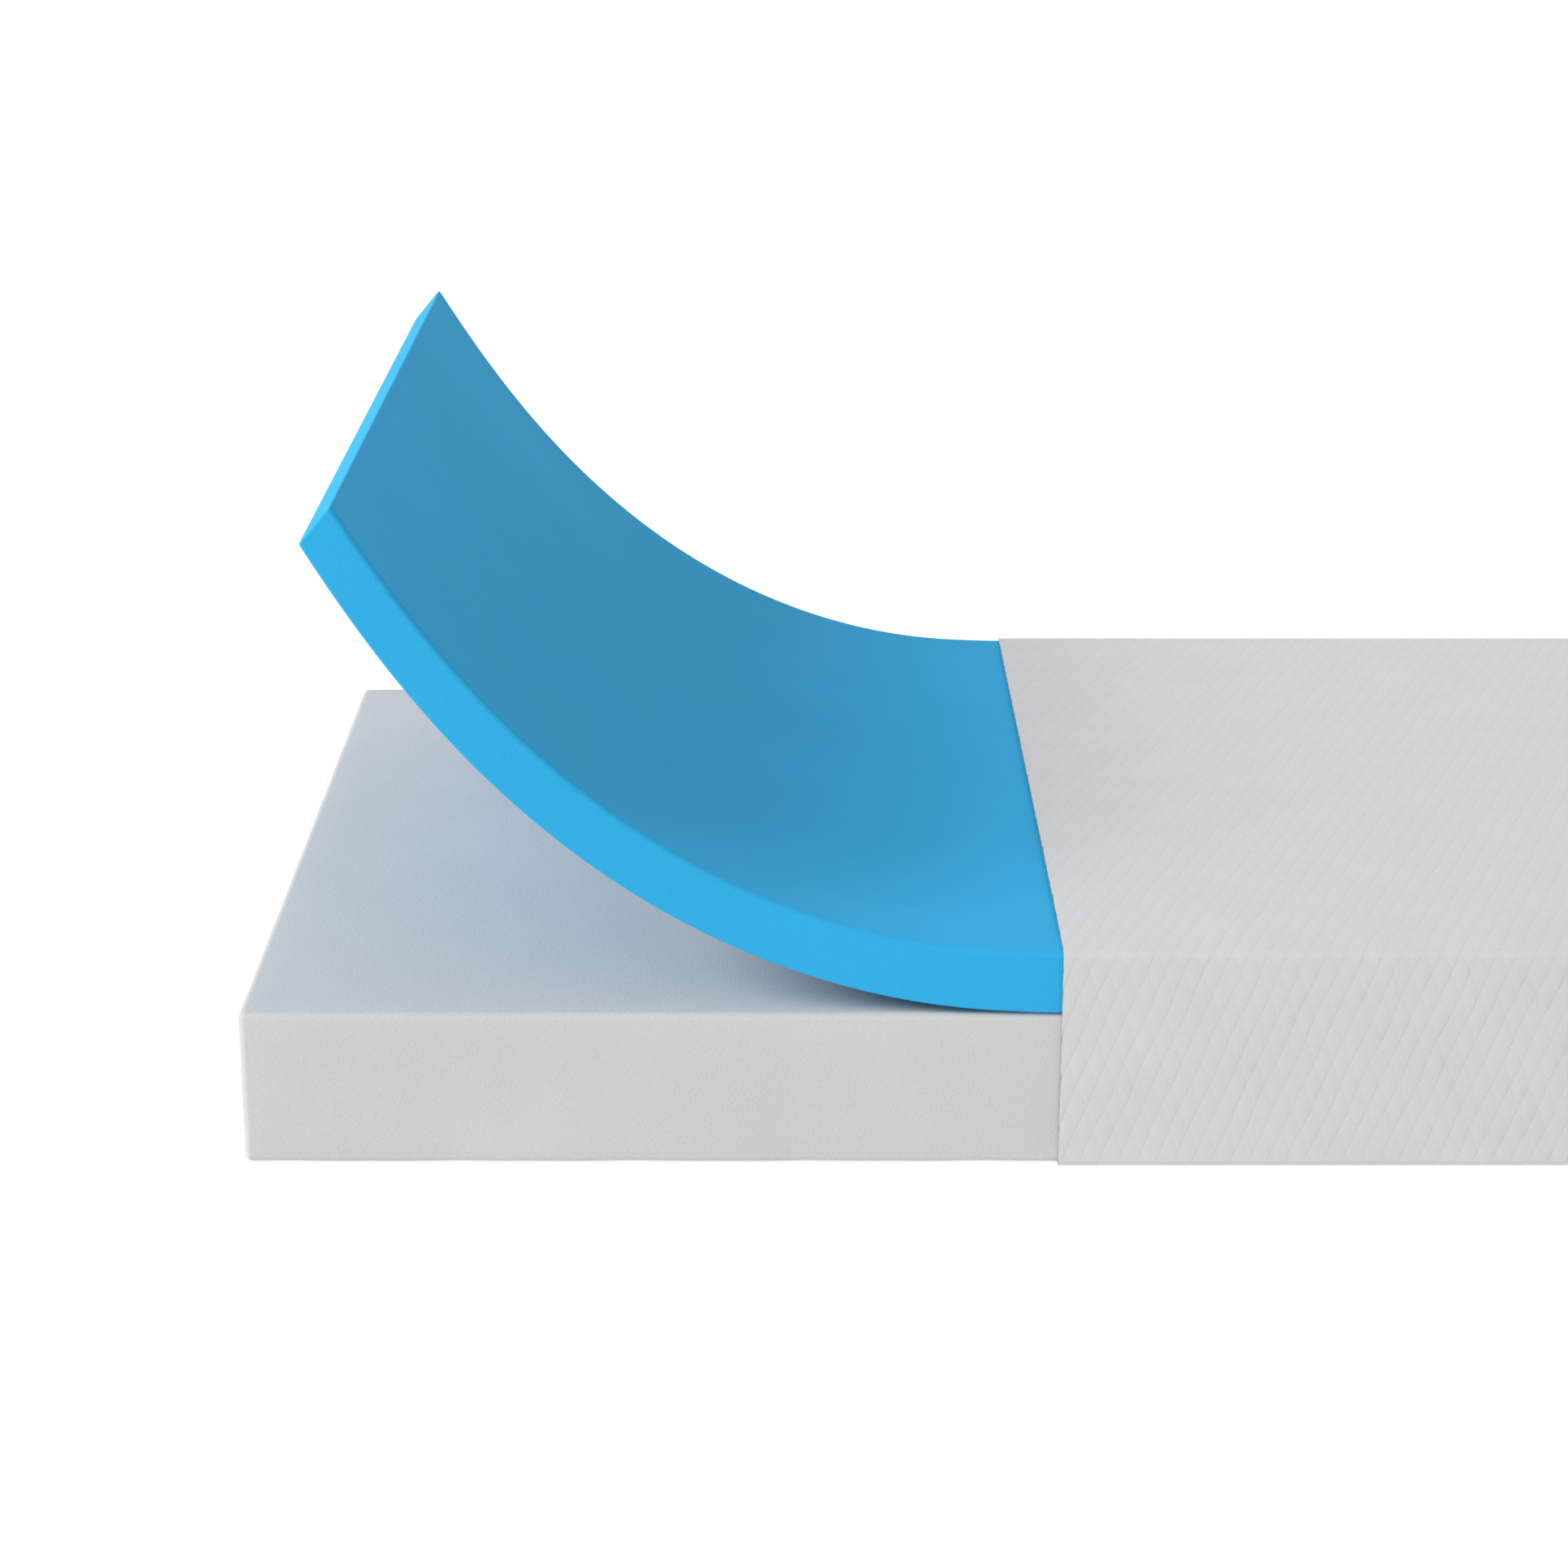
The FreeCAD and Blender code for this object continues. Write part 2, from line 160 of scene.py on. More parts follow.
def add_coordinates(piece, name, coordinates):
    """Keeps two coordinates with each point, for a material to read by name."""
    flat = np.zeros((len(coordinates), 3), np.float32)
    flat[:, :2] = coordinates
    attribute = piece.data.attributes.new(name, "FLOAT_VECTOR", "POINT")
    attribute.data.foreach_set("vector", flat.ravel())


def sweep(path, across, normal, profile):
    """Points and faces of a closed profile, (across, normal) pairs, carried along a path."""
    path = np.asarray(path, float)
    across = np.broadcast_to(np.asarray(across, float), path.shape)
    normal = np.broadcast_to(np.asarray(normal, float), path.shape)
    profile = np.asarray(profile, float)
    points = path[:, None] + profile[:, :1] * across[:, None] + profile[:, 1:] * normal[:, None]
    rings, sides = len(path), len(profile)
    faces = []
    for i in range(rings - 1):
        for j in range(sides):
            k = (j + 1) % sides
            faces.append((i * sides + j, i * sides + k, (i + 1) * sides + k, (i + 1) * sides + j))
    faces.append(range(sides - 1, -1, -1))
    faces.append(range((rings - 1) * sides, rings * sides))
    return points.reshape(-1, 3), faces


def thread(path, up, radius, sides=5):
    """A round thread along a path. up is any direction that the path never follows."""
    path = np.asarray(path, float)
    along = unit(np.gradient(path, axis=0))
    across = unit(np.cross(along, np.broadcast_to(np.asarray(up, float), path.shape)))
    turn = np.arange(sides) * 2 * math.pi / sides
    circle = radius * np.stack([np.cos(turn), np.sin(turn)], axis=1)
    return sweep(path, across, np.cross(across, along), circle)


def joined(parts):
    """Several (points, faces) as one."""
    points, faces, start = [], [], 0
    for some_points, some_faces in parts:
        points.append(some_points)
        faces += [[start + i for i in face] for face in some_faces]
        start += len(some_points)
    return np.concatenate(points), faces


def grid_lines(low, high, radius, cell, steps=EDGE_STEPS, extra=()):
    """Where to divide one side of a rounded box: evenly, more closely round its edges, and at extra."""
    least_gap = 0.3 * cell
    ends = radius * (1 - np.tan(np.linspace(math.pi / 4, 0, steps + 1)))[:-1]
    count = max(2, round((high - low - 2 * radius) / cell) + 1)
    inner = np.linspace(low + radius, high - radius, count)
    if len(extra):
        apart = np.abs(inner[:, None] - np.asarray(extra)[None]).min(axis=1)
        inner = np.sort(np.concatenate([inner[apart > least_gap], extra]))
    return np.concatenate([low + ends, inner, (high - ends)[::-1]])


def rounded_box(low, high, radius, lines, keep=None):
    """Points, normals and faces of a box with rounded edges, divided at lines. keep picks faces."""
    count = [len(some) for some in lines]
    index, faces = {}, []
    for axis in range(3):
        a, b = (axis + 1) % 3, (axis + 2) % 3
        for side in (0, count[axis] - 1):
            for i in range(count[a] - 1):
                for j in range(count[b] - 1):
                    face = []
                    for da, db in ((0, 0), (1, 0), (1, 1), (0, 1)):
                        key = [0, 0, 0]
                        key[axis], key[a], key[b] = side, i + da, j + db
                        face.append(index.setdefault(tuple(key), len(index)))
                    faces.append(face if side else face[::-1])
    keys = np.array(list(index))
    raw = np.stack([lines[axis][keys[:, axis]] for axis in range(3)], axis=1)
    inner = np.clip(raw, np.array(low) + radius, np.array(high) - radius)
    normals = unit(raw - inner)
    points = inner + radius * normals
    faces = np.array(faces)
    if keep is not None:
        faces = faces[keep(points[faces].mean(axis=1))]
        used, flat = np.unique(faces, return_inverse=True)
        faces = flat.reshape(faces.shape)
        points, normals = points[used], normals[used]
    return points, normals, faces


def thicken(points, normals, faces, thickness, lift=0.0):
    """A closed skin: the points raised by lift, an inner layer, and walls along the open edges."""
    count = len(points)
    outer = points + normals * np.reshape(lift, (-1, 1))
    both = np.concatenate([outer, points - normals * thickness])
    faces = faces.tolist()
    edges = dict.fromkeys(edge for face in faces for edge in zip(face, face[1:] + face[:1]))
    walls = [[b, a, a + count, b + count] for a, b in edges if (b, a) not in edges]
    return both, faces + [[i + count for i in face[::-1]] for face in faces] + walls


# ---- shader helpers ----
class Shader:
    """A material whose nodes are added by short calls. Each call gives an output socket."""

    def __init__(self, name, roughness=0.8, sheen=0.0, specular=0.3, metallic=0.0):
        self.material = bpy.data.materials.new(name)
        self.material.use_nodes = True
        self.nodes = self.material.node_tree.nodes
        self.links = self.material.node_tree.links
        self.surface = self.nodes["Principled BSDF"]
        for key, value in (("Roughness", roughness), ("Specular IOR Level", specular),
                           ("Metallic", metallic), ("Sheen Weight", sheen), ("Sheen Roughness", 0.5)):
            self.surface.inputs[key].default_value = value

    def add(self, kind, inputs, output=0, **settings):
        node = self.nodes.new(kind)
        for key, value in settings.items():
            setattr(node, key, value)
        for key, value in inputs.items():
            if isinstance(value, bpy.types.NodeSocket):
                self.links.new(value, node.inputs[key])
            else:
                node.inputs[key].default_value = value
        return node.outputs[output]

    def place(self):
        return self.add("ShaderNodeTexCoord", {}, output="Object")

    def kept(self, name):
        """What add_coordinates keeps under a name: the vector, and its two coordinates."""
        vector = self.add("ShaderNodeAttribute", {}, output="Vector", attribute_name=name)
        parts = self.add("ShaderNodeSeparateXYZ", {0: vector}).node.outputs
        return vector, parts["X"], parts["Y"]

    def math(self, operation, a, b=0.0, c=0.0):
        return self.add("ShaderNodeMath", {0: a, 1: b, 2: c}, operation=operation)

    def noise(self, scale, vector=None, detail=2.0, roughness=0.5):
        vector = vector or self.place()
        return self.add("ShaderNodeTexNoise", {"Vector": vector, "Scale": scale, "Detail": detail,
                                               "Roughness": roughness})

    def cells(self, scale, feature="F1"):
        return self.add("ShaderNodeTexVoronoi", {"Vector": self.place(), "Scale": scale},
                        feature=feature)

    def between(self, value, low, high, out_low=0.0, out_high=1.0, smooth=False):
        return self.add("ShaderNodeMapRange", {"Value": value, "From Min": low, "From Max": high,
                                               "To Min": out_low, "To Max": out_high},
                        interpolation_type="SMOOTHSTEP" if smooth else "LINEAR")

    def colours(self, value, *stops):
        """A colour for each (position, colour) of value."""
        node = self.nodes.new("ShaderNodeValToRGB")
        self.links.new(value, node.inputs[0])
        ramp = node.color_ramp.elements
        while len(ramp) < len(stops):
            ramp.new(0.5)
        for element, (position, colour) in zip(ramp, stops):
            element.position = position
            element.color = (*colour, 1.0)
        return node.outputs[0]

    def mottled(self, colour, scale, dark, light, vector=None):
        """A colour that drifts slowly between a darker and a lighter shade."""
        return self.colours(self.noise(scale, vector, 3.0), (0.3, shade(colour, dark)),
                            (0.7, shade(colour, light)))

    def darken(self, colour, factor):
        return self.add("ShaderNodeVectorMath", {0: colour, "Scale": factor}, operation="SCALE")

    def bump(self, height, strength, distance, under=None):
        inputs = {"Height": height, "Strength": strength, "Distance": distance}
        if under is not None:
            inputs["Normal"] = under
        return self.add("ShaderNodeBump", inputs)

    def finish(self, colour, normal=None, roughness=None):
        for key, socket in (("Base Color", colour), ("Normal", normal), ("Roughness", roughness)):
            if socket is not None:
                self.links.new(socket, self.surface.inputs[key])
        return self.material


def shade(colour, factor):
    return tuple(min(1.0, channel * factor) for channel in colour)


def foam(name, colour, cell_scale, sheen):
    """Cut foam: fine open cells, a few larger pores, and a slow drift of tone."""
    s = Shader(name, roughness=0.92, sheen=sheen, specular=0.2)
    tone = s.mottled(colour, 3.5, 0.965, 1.02)
    pores = s.cells(cell_scale)
    fine = s.noise(cell_scale * 1.7, detail=3.0, roughness=0.7)
    speckle = s.between(fine, 0.3, 0.7, 0.97, 1.03)
    # Painted shade: the foam is drawn up to a tenth darker in its pores, where shade falls.
    pore_shade = s.between(pores, 0.0, 0.35, 0.9, 1.0, smooth=True)
    coarse = s.bump(s.noise(45.0), 0.12, 0.0012)
    cells = s.bump(pores, 0.35, 0.0004, coarse)
    grain = s.bump(fine, 0.4, 0.0003, cells)
    return s.finish(s.darken(s.darken(tone, speckle), pore_shade), grain,
                    s.between(fine, 0.3, 0.7, 0.85, 1.0))


def diamond_knit(name, colour):
    """Jacquard knit: long raised diamonds between sunk lines, and a fine V-stitch over everything."""
    s = Shader(name, roughness=0.85, sheen=0.3, specular=0.25)
    cloth, along, round_ = s.kept("cloth")
    _, rising, falling = s.kept("lines")
    main = s.between(s.math("PINGPONG", rising, 0.5), 0.0, 0.07, smooth=True)
    minor = s.between(s.math("PINGPONG", falling, 0.5), 0.0, 0.06, smooth=True)
    pattern = s.math("MULTIPLY_ADD", minor, 0.35, s.math("MULTIPLY", main, 0.65))
    wale = s.math("PINGPONG", s.math("MULTIPLY", along, 1 / STITCH_W), 0.5)
    course = s.math("MULTIPLY_ADD", round_, 1 / STITCH_L, wale)
    stitch = s.math("ADD", s.math("PINGPONG", course, 0.5), wale)
    fuzz = s.noise(900.0, cloth, 3.0, 0.7)
    tone = s.mottled(colour, 14.0, 0.97, 1.02, cloth)
    # Painted shade: the knit is drawn a little darker along its sunk lines, where shade falls.
    sunk = s.between(pattern, 0.0, 1.0, 0.97, 1.0)
    # Painted shade and highlight: each stitch is drawn darker where its bump lies low and lighter where
    # it stands high.
    weave = s.between(stitch, 0.1, 0.9, 0.97, 1.02)
    normal = s.bump(stitch, 0.35, 0.00035)
    normal = s.bump(fuzz, 0.25, 0.0003, normal)
    return s.finish(s.darken(s.darken(tone, sunk), weave), normal)


def woven(name, colour, pitch, dark=0.9, roughness=0.85):
    """Plain weave of crossing threads."""
    s = Shader(name, roughness=roughness, sheen=0.2)
    place = s.add("ShaderNodeSeparateXYZ", {0: s.place()}, output="X")
    waves = []
    for socket in place.node.outputs:
        waves.append(s.math("SINE", s.math("MULTIPLY", socket, 2 * math.pi / pitch)))
    crossing = s.math("MULTIPLY", s.math("ADD", waves[2], waves[0]), waves[1])
    height = s.math("ADD", crossing, s.noise(1 / pitch))
    tone = s.mottled(colour, 25.0, 0.94, 1.03)
    # Painted shade and highlight: the cloth is drawn darker, by the factor dark, where its bump height
    # lies low, and a little lighter where the threads cross high.
    return s.finish(s.darken(tone, s.between(height, -1.0, 1.5, dark, 1.02)),
                    s.bump(height, 0.4, pitch * 0.3))


def rib_knit(name, colour):
    """Thin liner knit with fine ribs along the mattress."""
    s = Shader(name, roughness=0.9, sheen=0.25)
    cloth, _, round_ = s.kept("cloth")
    rib = s.math("PINGPONG", s.math("MULTIPLY", round_, 1 / RIB_W), 0.5)
    fuzz = s.noise(700.0, cloth, 3.0, 0.7)
    tone = s.mottled(colour, 9.0, 0.95, 1.02, cloth)
    # Painted shade: the valleys between the ribs are drawn up to a tenth darker.
    return s.finish(s.darken(tone, s.between(rib, 0.0, 0.5, 0.9, 1.0)),
                    s.bump(fuzz, 0.3, 0.0003, s.bump(rib, 0.6, 0.0008)))


def spun_thread(name, colour):
    """Polyester thread with a visible twist."""
    s = Shader(name, roughness=0.6, sheen=0.15)
    place = s.add("ShaderNodeVectorMath", {0: s.place(), 1: (1.0, 1.0, 1.0)}, output="Value",
                  operation="DOT_PRODUCT")
    twist = s.math("PINGPONG", s.math("MULTIPLY", place, 1 / TWIST), 0.5)
    # Painted shade: the thread is drawn darker in the grooves of its twist, where its bump lies low.
    tone = s.colours(twist, (0.0, shade(colour, 0.85)), (0.5, colour))
    return s.finish(tone, s.bump(twist, 0.4, 0.0001))


def moulded(name, colour, roughness, metallic=0.0):
    """Nylon, rubber or painted metal: slight mottling and a fine orange-peel surface."""
    s = Shader(name, roughness=roughness, specular=0.5, metallic=metallic)
    fine = s.noise(900.0)
    tone = s.mottled(colour, 60.0, 0.95, 1.03)
    smooth = s.between(fine, 0.3, 0.7, roughness - 0.05, roughness + 0.05)
    return s.finish(tone, s.bump(fine, 0.06, 0.00005), smooth)


def glue(name, colour):
    """Stripes of spray adhesive: uneven strings and droplets."""
    s = Shader(name, roughness=0.45, specular=0.5)
    blobs = s.cells(260.0, feature="SMOOTH_F1")
    tone = s.colours(blobs, (0.1, colour), (0.6, shade(colour, 0.82)))
    return s.finish(tone, s.bump(blobs, 0.6, 0.0006), s.between(blobs, 0.0, 0.6, 0.3, 0.6))


MATERIALS = {
    "support_foam": foam("support_foam", (0.535, 0.535, 0.535), 420.0, 0.05),
    "gel_memory_foam": foam("gel_memory_foam", (0.025, 0.37, 0.68), 520.0, 0.02),
    "cover_knit": diamond_knit("cover_knit", (0.57, 0.57, 0.57)),
    "barrier_knit": rib_knit("barrier_knit", (0.72, 0.72, 0.69)),
    "underside_fabric": woven("underside_fabric", (0.42, 0.43, 0.44), 0.0012),
    "grip_dot": moulded("grip_dot", (0.24, 0.25, 0.26), 0.5),
    "seam_thread": spun_thread("seam_thread", (0.70, 0.70, 0.69)),
    "zip_tape": woven("zip_tape", (0.66, 0.66, 0.65), 0.0008),
    "zip_coil": moulded("zip_coil", (0.68, 0.68, 0.66), 0.35),
    "zip_metal": moulded("zip_metal", (0.66, 0.66, 0.65), 0.3, metallic=0.35),
    "label_satin": woven("label_satin", (0.78, 0.78, 0.77), 0.0005, dark=0.96, roughness=0.45),
    "adhesive": glue("adhesive", (0.62, 0.60, 0.50)),
}


def place_piece(piece, body, slot, *nodes):
    """Puts a rigid piece on its CAD body, in place of its CAD nodes. Its slot is not used."""
    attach(piece, body)
    if nodes:
        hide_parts(*nodes)


# ---- foams ----
def foam_wave(a, b):
    """Slow unevenness of a foam face, from two distances along it: waves about 75 to 170 mm long."""
    slow = np.sin(a * 41 + 1.3) * np.sin(b * 37 + 0.4)
    quick = np.sin(a * 83 - b * 71)
    return FOAM_WAVE * (slow + 0.6 * quick)


def make_support_core():
    lines = [grid_lines(CORE_LO[axis], CORE_HI[axis], CORE_R, FOAM_CELL) for axis in range(3)]
    points, normals, faces = rounded_box(CORE_LO, CORE_HI, CORE_R, lines)
    inward = foam_wave(points[:, 0] + points[:, 2], points[:, 1] + points[:, 2])
    points = points - normals * (WAVE_SHIFT + inward)[:, None]
    piece = add_mesh("support_foam", points, faces, MATERIALS["support_foam"], sharp_deg=None)
    place_piece(piece, "core", "support_foam", "support_core")


def peel_curve():
    """The hinge line's curve through the peeled layer: distance s, then x, z and tilt at each s.

    The tilt grows evenly over the first block's length, half of it before the first hinge, so that the
    curve lies on the hinges' own line where the blocks meet.
    """
    lead = BLOCK_LENGTH / 2
    table_size = 2001
    s = np.linspace(-lead, PEEL_LENGTH + TIP_EXTRA, table_size)
    to_go = np.clip(1 - np.maximum(s, lead) / PEEL_LENGTH, 0, 1)
    tilt = PEEL_ANGLE * (1 - to_go ** PEEL_POWER) * np.clip((s + lead) / BLOCK_LENGTH, 0, 1)
    middle = (tilt[1:] + tilt[:-1]) / 2
    step = s[1] - s[0]
    x = PEEL_X + lead - np.concatenate([[0], np.cumsum(np.cos(middle) * step)])
    z = ROOT_LO.z + HINGE_HEIGHT + np.concatenate([[0], np.cumsum(np.sin(middle) * step)])
    return s, x, z, tilt


PEEL_CURVE = peel_curve()


def on_layer(s, height):
    """x and z of a point of the comfort layer: s beyond where it lifts, height above its lower face."""
    table_s, table_x, table_z, table_tilt = PEEL_CURVE
    x = np.interp(s, table_s, table_x) + np.maximum(table_s[0] - s, 0)
    z = np.interp(s, table_s, table_z)
    tilt = np.interp(s, table_s, table_tilt)
    below = HINGE_HEIGHT - height
    return x - below * np.sin(tilt), z - below * np.cos(tilt)


def layer_section(thickness, inset):
    """The layer's cross-section, as (y, height) round it, drawn in by inset from its full size."""
    half = ROOT_HI.y - inset
    low, high = inset, thickness - inset
    points = []
    least_radius = 0.0004
    corners = [(1, low, COMFORT_LOWER_R, -90), (1, high, COMFORT_R, 0),
               (-1, high, COMFORT_R, 90), (-1, low, COMFORT_LOWER_R, 180)]
    for side, edge, radius, start in corners:
        radius = max(radius - inset, least_radius)
        centre_y = side * (half - radius)
        centre_z = edge + radius if start in (-90, 180) else edge - radius
        for turn in np.radians(np.linspace(start, start + 90, CORNER_POINTS)):
            points.append((centre_y + radius * math.cos(turn), centre_z + radius * math.sin(turn)))
    return np.array(points)


def divided(section):
    """The section with the straight run after each corner divided: a side, a face, and so on."""
    corner_ends = range(CORNER_POINTS - 1, len(section), CORNER_POINTS)
    run_parts = dict(zip(corner_ends, (SIDE_PARTS, FACE_PARTS, SIDE_PARTS, FACE_PARTS)))
    points = []
    for number, (a, b) in enumerate(zip(section, np.roll(section, -1, axis=0))):
        parts = run_parts.get(number, 1)
        points += [a + (b - a) * i / parts for i in range(parts)]
    return np.array(points)


def layer_ring(s, back, tip):
    """The points round the layer at s, with back and tip the distances to its two ends."""
    share = (max(s, 0) / PEEL_LENGTH) ** TAPER_POWER
    thickness = (ROOT_HI.z - ROOT_LO.z) * (1 - share) + TIP_T * share
    gap = min(s + back, tip - s)
    inset = TIP_R - math.sqrt(max(TIP_R ** 2 - max(TIP_R - gap, 0) ** 2, 0))
    y, height = divided(layer_section(thickness, inset)).T

    lean_start = PEEL_LENGTH - BLOCK_LENGTH / 2
    lean = TIP_T * math.tan(TIP_LEAN) * (1 - height / thickness)
    lean = lean * np.clip((s - lean_start) / (tip - lean_start), 0, 1)

    wave = (foam_wave(s, y) + WAVE_SHIFT) * np.clip(gap / FOAM_CELL, 0, 1)
    wave = wave * np.where(height > thickness / 2, -1.0, 0.5)
    height = height + np.where(np.abs(y) < ROOT_HI.y - COMFORT_R, wave, 0)
    x, z = on_layer(s - lean, height)
    return np.stack([x, y, z], axis=1)


def layer_rings():
    """Stations along the layer, foot end to free end, and every ring's points."""
    back = ROOT_HI.x - PEEL_X
    tip = PEEL_LENGTH + TIP_EXTRA
    ease = TIP_R * (1 - np.cos(np.radians(np.arange(0, 91, 18))))
    flat = np.linspace(-back + COMFORT_R, -BLOCK_LENGTH / 2 - FOAM_CELL / 2, FLAT_STATIONS)
    bent = np.arange(-BLOCK_STATIONS // 2, len(PEEL_JOINTS) * BLOCK_STATIONS)
    bent = bent * BLOCK_LENGTH / BLOCK_STATIONS
    stations = np.concatenate([-back + ease, flat, bent, tip - ease])
    stations = np.unique(np.round(stations, 7))
    return stations, np.array([layer_ring(s, back, tip) for s in stations])


def make_comfort_layer():
    """One slab, cut across the middle of each block: the first length rides on the core, the last on
    the last peel body, and the lengths between stay where they are drawn.
    """
    stations, rings = layer_rings()
    along = np.gradient(rings, axis=0)
    around = (np.roll(rings, -1, axis=1) - np.roll(rings, 1, axis=1)) / 2
    normals = unit(np.cross(along, around))
    joints = len(PEEL_JOINTS)
    cuts = [-BLOCK_LENGTH / 4] + [(k - 0.5) * BLOCK_LENGTH for k in range(1, joints + 1)]
    cut_at = [int(np.argmin(np.abs(stations - cut))) for cut in cuts]
    for number, (first, last) in enumerate(zip([0] + cut_at, cut_at + [len(stations) - 1])):
        name = "comfort_foam_root" if number == 0 else f"comfort_foam_{number:02d}"
        piece = slab_piece(name, rings[first:last + 1], normals[first:last + 1])
        if number == 0:
            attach(piece, "core")
            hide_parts("comfort_layer_root")
        elif number <= joints:
            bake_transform(piece)
            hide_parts(f"comfort_layer_{number:02d}")
        else:
            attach(piece, f"peel_{joints:02d}")
            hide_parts(f"comfort_layer_{joints:02d}")


def slab_piece(name, rings, normals):
    """A closed length of the layer whose shading runs on into its neighbours'."""
    count, sides = rings.shape[:2]
    faces = []
    for i in range(count - 1):
        for j in range(sides):
            k = (j + 1) % sides
            faces.append((i * sides + j, (i + 1) * sides + j, (i + 1) * sides + k, i * sides + k))
    ends = [range(sides), range(count * sides - 1, (count - 1) * sides - 1, -1)]
    piece = add_mesh(name, rings.reshape(-1, 3), faces + ends, MATERIALS["gel_memory_foam"], None)
    mesh = piece.data
    flat = normals.reshape(-1, 3)
    loops = np.zeros(len(mesh.loops), np.int64)
    mesh.loops.foreach_get("vertex_index", loops)
    split = flat[loops]
    for polygon in mesh.polygons:
        if len(polygon.vertices) > 4:
            split[polygon.loop_start:polygon.loop_start + polygon.loop_total] = polygon.normal
    mesh.normals_split_custom_set(split.tolist())
    return piece


# ---- cover ----
ARC = COVER_R * math.pi / 2
SIDE = TOP_Z - 2 * COVER_R
TOP = 2 * (SIDE_Y - COVER_R)
OUTLINE = np.cumsum([0, ARC, SIDE, ARC, TOP, ARC, SIDE, ARC])
FOLDS = OUTLINE[:-1:2]    # where its four rounded edges begin
OUTLINE_LENGTH = OUTLINE[-1]


def wrap(t):
    """Points (y, z) and outward normals of the cover's rounded outline.

    t is the distance from its front lower edge, over the top, towards its back lower edge.
    """
    turn = np.radians(np.interp(t, OUTLINE, [0, 90, 90, 180, 180, 270, 270, 360]))
    inner = SIDE_Y - COVER_R
    centre_y = np.interp(t, OUTLINE, [-inner] * 4 + [inner] * 4)
    centre_z = np.interp(t, OUTLINE, [COVER_R] * 2 + [TOP_Z - COVER_R] * 4 + [COVER_R] * 2)
    normal = np.stack([-np.sin(turn), -np.cos(turn)], axis=-1)
    return np.stack([centre_y, centre_z], axis=-1) + COVER_R * normal, normal


def knit_wander(along, round_):
    """How far the knit's lines stray along the mattress from where they would be if pulled true."""
    one = np.sin(along * 71 + round_ * 43)
    other = np.sin(round_ * 97 - along * 29 + 2.0)
    return KNIT_WANDER * (one + other)


def knit_lines(along, round_):
    """Where a point lies among the rising and the falling lines; a whole number is on a line."""
    true = along - knit_wander(along, round_)
    return true / DIAMOND_W - round_ / DIAMOND_L, true / DIAMOND_W + round_ / DIAMOND_L


def diamond_chance(rising, falling):
    """A number from 0 to 1 that looks random and is always the same for one diamond."""
    spread = np.sin(np.floor(rising) * 12.9898 + np.floor(falling) * 78.233)
    return spread * 43758.5453 % 1


def knit_height(rising, falling):
    """Relief of the knit: diamonds between sunk lines, each a little higher along one side."""
    over = np.interp(rising % 1, LINE_SHARES, RISING_RELIEF)
    under = np.interp(falling % 1, LINE_SHARES, FALLING_RELIEF)
    crown = 0.3 + 0.4 * diamond_chance(rising, falling)
    return GROOVE * (0.3 * over + 0.2 * under + crown * over * under - 1.2)


def knit_lattice(x0, x1, t0, t1):
    """Cloth points (x, t) on the knit's two sets of lines, their places among them, and faces."""
    shares = np.array(LINE_SHARES[:-1])
    rising = np.arange(math.floor(x0 / DIAMOND_W - t1 / DIAMOND_L),
                       math.ceil(x1 / DIAMOND_W - t0 / DIAMOND_L))
    falling = np.arange(math.floor(x0 / DIAMOND_W + t0 / DIAMOND_L),
                        math.ceil(x1 / DIAMOND_W + t1 / DIAMOND_L))
    rising = np.append((rising[:, None] + shares).ravel(), rising[-1] + 1)
    falling = np.append((falling[:, None] + shares).ravel(), falling[-1] + 1)
    r, f = np.meshgrid(rising, falling, indexing="ij")
    x, t = DIAMOND_W * (r + f) / 2, DIAMOND_L * (f - r) / 2
    x = x + knit_wander(x, t)
    cloth = np.stack([np.clip(x, x0, x1), np.clip(t, t0, t1)], axis=-1)
    cloth = np.round(cloth.reshape(-1, 2), 6)
    cloth, first, ids = np.unique(cloth, axis=0, return_index=True, return_inverse=True)
    ids = ids.reshape(r.shape)
    quads = np.stack([ids[:-1, :-1], ids[1:, :-1], ids[1:, 1:], ids[:-1, 1:]], axis=-1).reshape(-1, 4)
    across = cloth[quads[:, 2]] - cloth[quads[:, 0]]
    up = cloth[quads[:, 3]] - cloth[quads[:, 1]]
    area = across[:, 0] * up[:, 1] - across[:, 1] * up[:, 0]
    least_area = 1e-10
    faces = [list(dict.fromkeys(quad)) for quad in quads[area > least_area].tolist()]
    return cloth, np.stack([r.ravel()[first], f.ravel()[first]], axis=1), faces


def zipped(a, a_run, b, b_run):
    """Triangles between two lines of points of different counts, matched by the distance run."""
    faces, i, j = [], 0, 0
    while i < len(a) - 1 or j < len(b) - 1:
        if j == len(b) - 1 or (i < len(a) - 1 and a_run[i + 1] <= b_run[j + 1]):
            faces.append([a[i], a[i + 1], b[j]])
            i += 1
        else:
            faces.append([a[i], b[j + 1], b[j]])
            j += 1
    return faces


def divided_cloth(cloth, lift, faces, rows):
    """Flat cloth, points (x, t) raised by lift, divided along each row of t where it is to fold."""
    mesh = bpy.data.meshes.new("flat_cloth")
    mesh.from_pydata(np.column_stack([cloth, lift]).tolist(), [], faces)
    form = bmesh.new()
    form.from_mesh(mesh)
    for row in rows:
        bmesh.ops.bisect_plane(form, geom=form.verts[:] + form.edges[:] + form.faces[:], dist=1e-6,
                               plane_co=(0.0, row, 0.0), plane_no=(0.0, 1.0, 0.0))
    points = np.array([vertex.co for vertex in form.verts])
    form.verts.index_update()
    faces = [[vertex.index for vertex in face.verts] for face in form.faces]
    form.free()
    bpy.data.meshes.remove(mesh)
    return np.round(points[:, :2], 6), points[:, 2], faces


